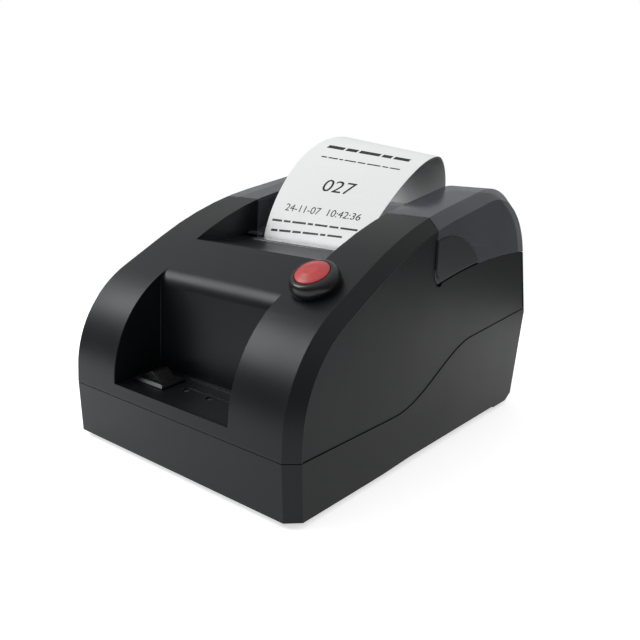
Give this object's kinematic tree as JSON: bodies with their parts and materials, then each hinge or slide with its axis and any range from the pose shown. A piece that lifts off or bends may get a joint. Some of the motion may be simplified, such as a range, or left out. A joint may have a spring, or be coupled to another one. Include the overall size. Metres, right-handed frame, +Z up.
{
  "type": "countertop queue ticket printer",
  "caption": "Desktop queue ticket printer with a front pocket, push button, rocker switch, paper slot and a hinged smoked cover over the roll.",
  "frame": {"origin": "middle of the bounding box at the counter surface", "axes": "+Z up, -Y towards the customer in front of the pocket, +X to the side of the push button"},
  "size_m": [0.128, 0.192, 0.1362],
  "materials": {
    "base_plastic": "fine matte texture",
    "housing_plastic": "fine matte texture",
    "smoked_cover": "smoked translucent, glossy",
    "pad_plastic": "matte",
    "black_plastic": "satin",
    "roller_rubber": "ground rubber",
    "steel": "ground",
    "bush_plastic": "satin",
    "gear_plastic": "satin",
    "brass_pinion": "machined",
    "motor_steel": "zinc plated",
    "chassis_steel": "zinc plated",
    "ceramic_head": "glazed ceramic",
    "sink_aluminium": "anodised",
    "paper": "smooth thermal paper",
    "core_plastic": "satin",
    "circuit_board": "solder mask",
    "port_metal": "nickel plated",
    "bezel_plastic": "satin gloss",
    "red_cap": "satin gloss",
    "rocker_plastic": "gloss",
    "lens_plastic": "clear moulded",
    "foot_rubber": "matte",
    "dark_screw": "blackened"
  },
  "bodies": {
    "body": {"base_shell": "base_plastic", "top_housing": "housing_plastic", "stepper_motor": "motor_steel", "mech_frame": "chassis_steel", "print_head": "ceramic_head", "head_heat_sink": "sink_aluminium", "head_springs": "steel", "tear_bar": "steel", "paper_bin": "black_plastic", "paper_sensor": "black_plastic", "main_board": "circuit_board", "port_board": "circuit_board", "power_inlet": "black_plastic", "data_port": "port_metal", "button_bezel": "bezel_plastic", "button_nut": "black_plastic", "button_switch": "black_plastic", "button_spring": "steel", "rocker_body": "black_plastic", "indicator_lenses": "lens_plastic", "hinge_pins": "steel", "rubber_feet": "foot_rubber", "base_screws": "dark_screw"},
    "cover": {"paper_cover": "smoked_cover", "cover_tab_left": "pad_plastic", "cover_tab_right": "pad_plastic", "platen_carrier": "black_plastic", "platen_bushes": "bush_plastic", "ticket": "paper"},
    "platen": {"platen_roller": "roller_rubber", "platen_shaft": "steel", "platen_gear": "gear_plastic"},
    "idler": {"idler_gear": "gear_plastic"},
    "pinion": {"motor_pinion": "brass_pinion"},
    "roll": {"paper_roll": "paper", "roll_core": "core_plastic"},
    "button": {"button_cap": "red_cap"},
    "rocker": {"rocker": "rocker_plastic"}
  },
  "joints": [
    {"name": "cover_hinge", "type": "hinge", "parent": "body", "child": "cover", "pos_m": [0, 0.0885, 0.0824], "axis": [-1, 0, 0], "range_deg": [0, 85]},
    {"name": "platen_spin", "type": "hinge", "parent": "cover", "child": "platen", "pos_m": [0, -0.0077, 0.08], "axis": [1, 0, 0], "continuous": true},
    {"name": "idler_spin", "type": "hinge", "parent": "body", "child": "idler", "pos_m": [-0.036, -0.0077, 0.06588], "axis": [1, 0, 0], "continuous": true},
    {"name": "pinion_spin", "type": "hinge", "parent": "body", "child": "pinion", "pos_m": [-0.036, -0.01742, 0.05881], "axis": [1, 0, 0], "continuous": true},
    {"name": "roll_spin", "type": "hinge", "parent": "body", "child": "roll", "pos_m": [0, 0.0385, 0.045], "axis": [1, 0, 0], "continuous": true},
    {"name": "button_press", "type": "slide", "parent": "body", "child": "button", "axis": [0, 0.5, -0.866], "range_m": [0, 0.0018], "stiffness_N_per_m": 600, "springref_m": -0.001, "deforming": ["button_spring"]},
    {"name": "rocker_tilt", "type": "hinge", "parent": "body", "child": "rocker", "pos_m": [-0.0215, -0.08235, 0.031], "axis": [0, -0.9957, -0.0924], "range_deg": [0, 14]}
  ],
  "couplings": [
    {"joint": "idler_spin", "follows": "platen_spin", "ratio": -0.66667},
    {"joint": "pinion_spin", "follows": "platen_spin", "ratio": 1.6}
  ]
}
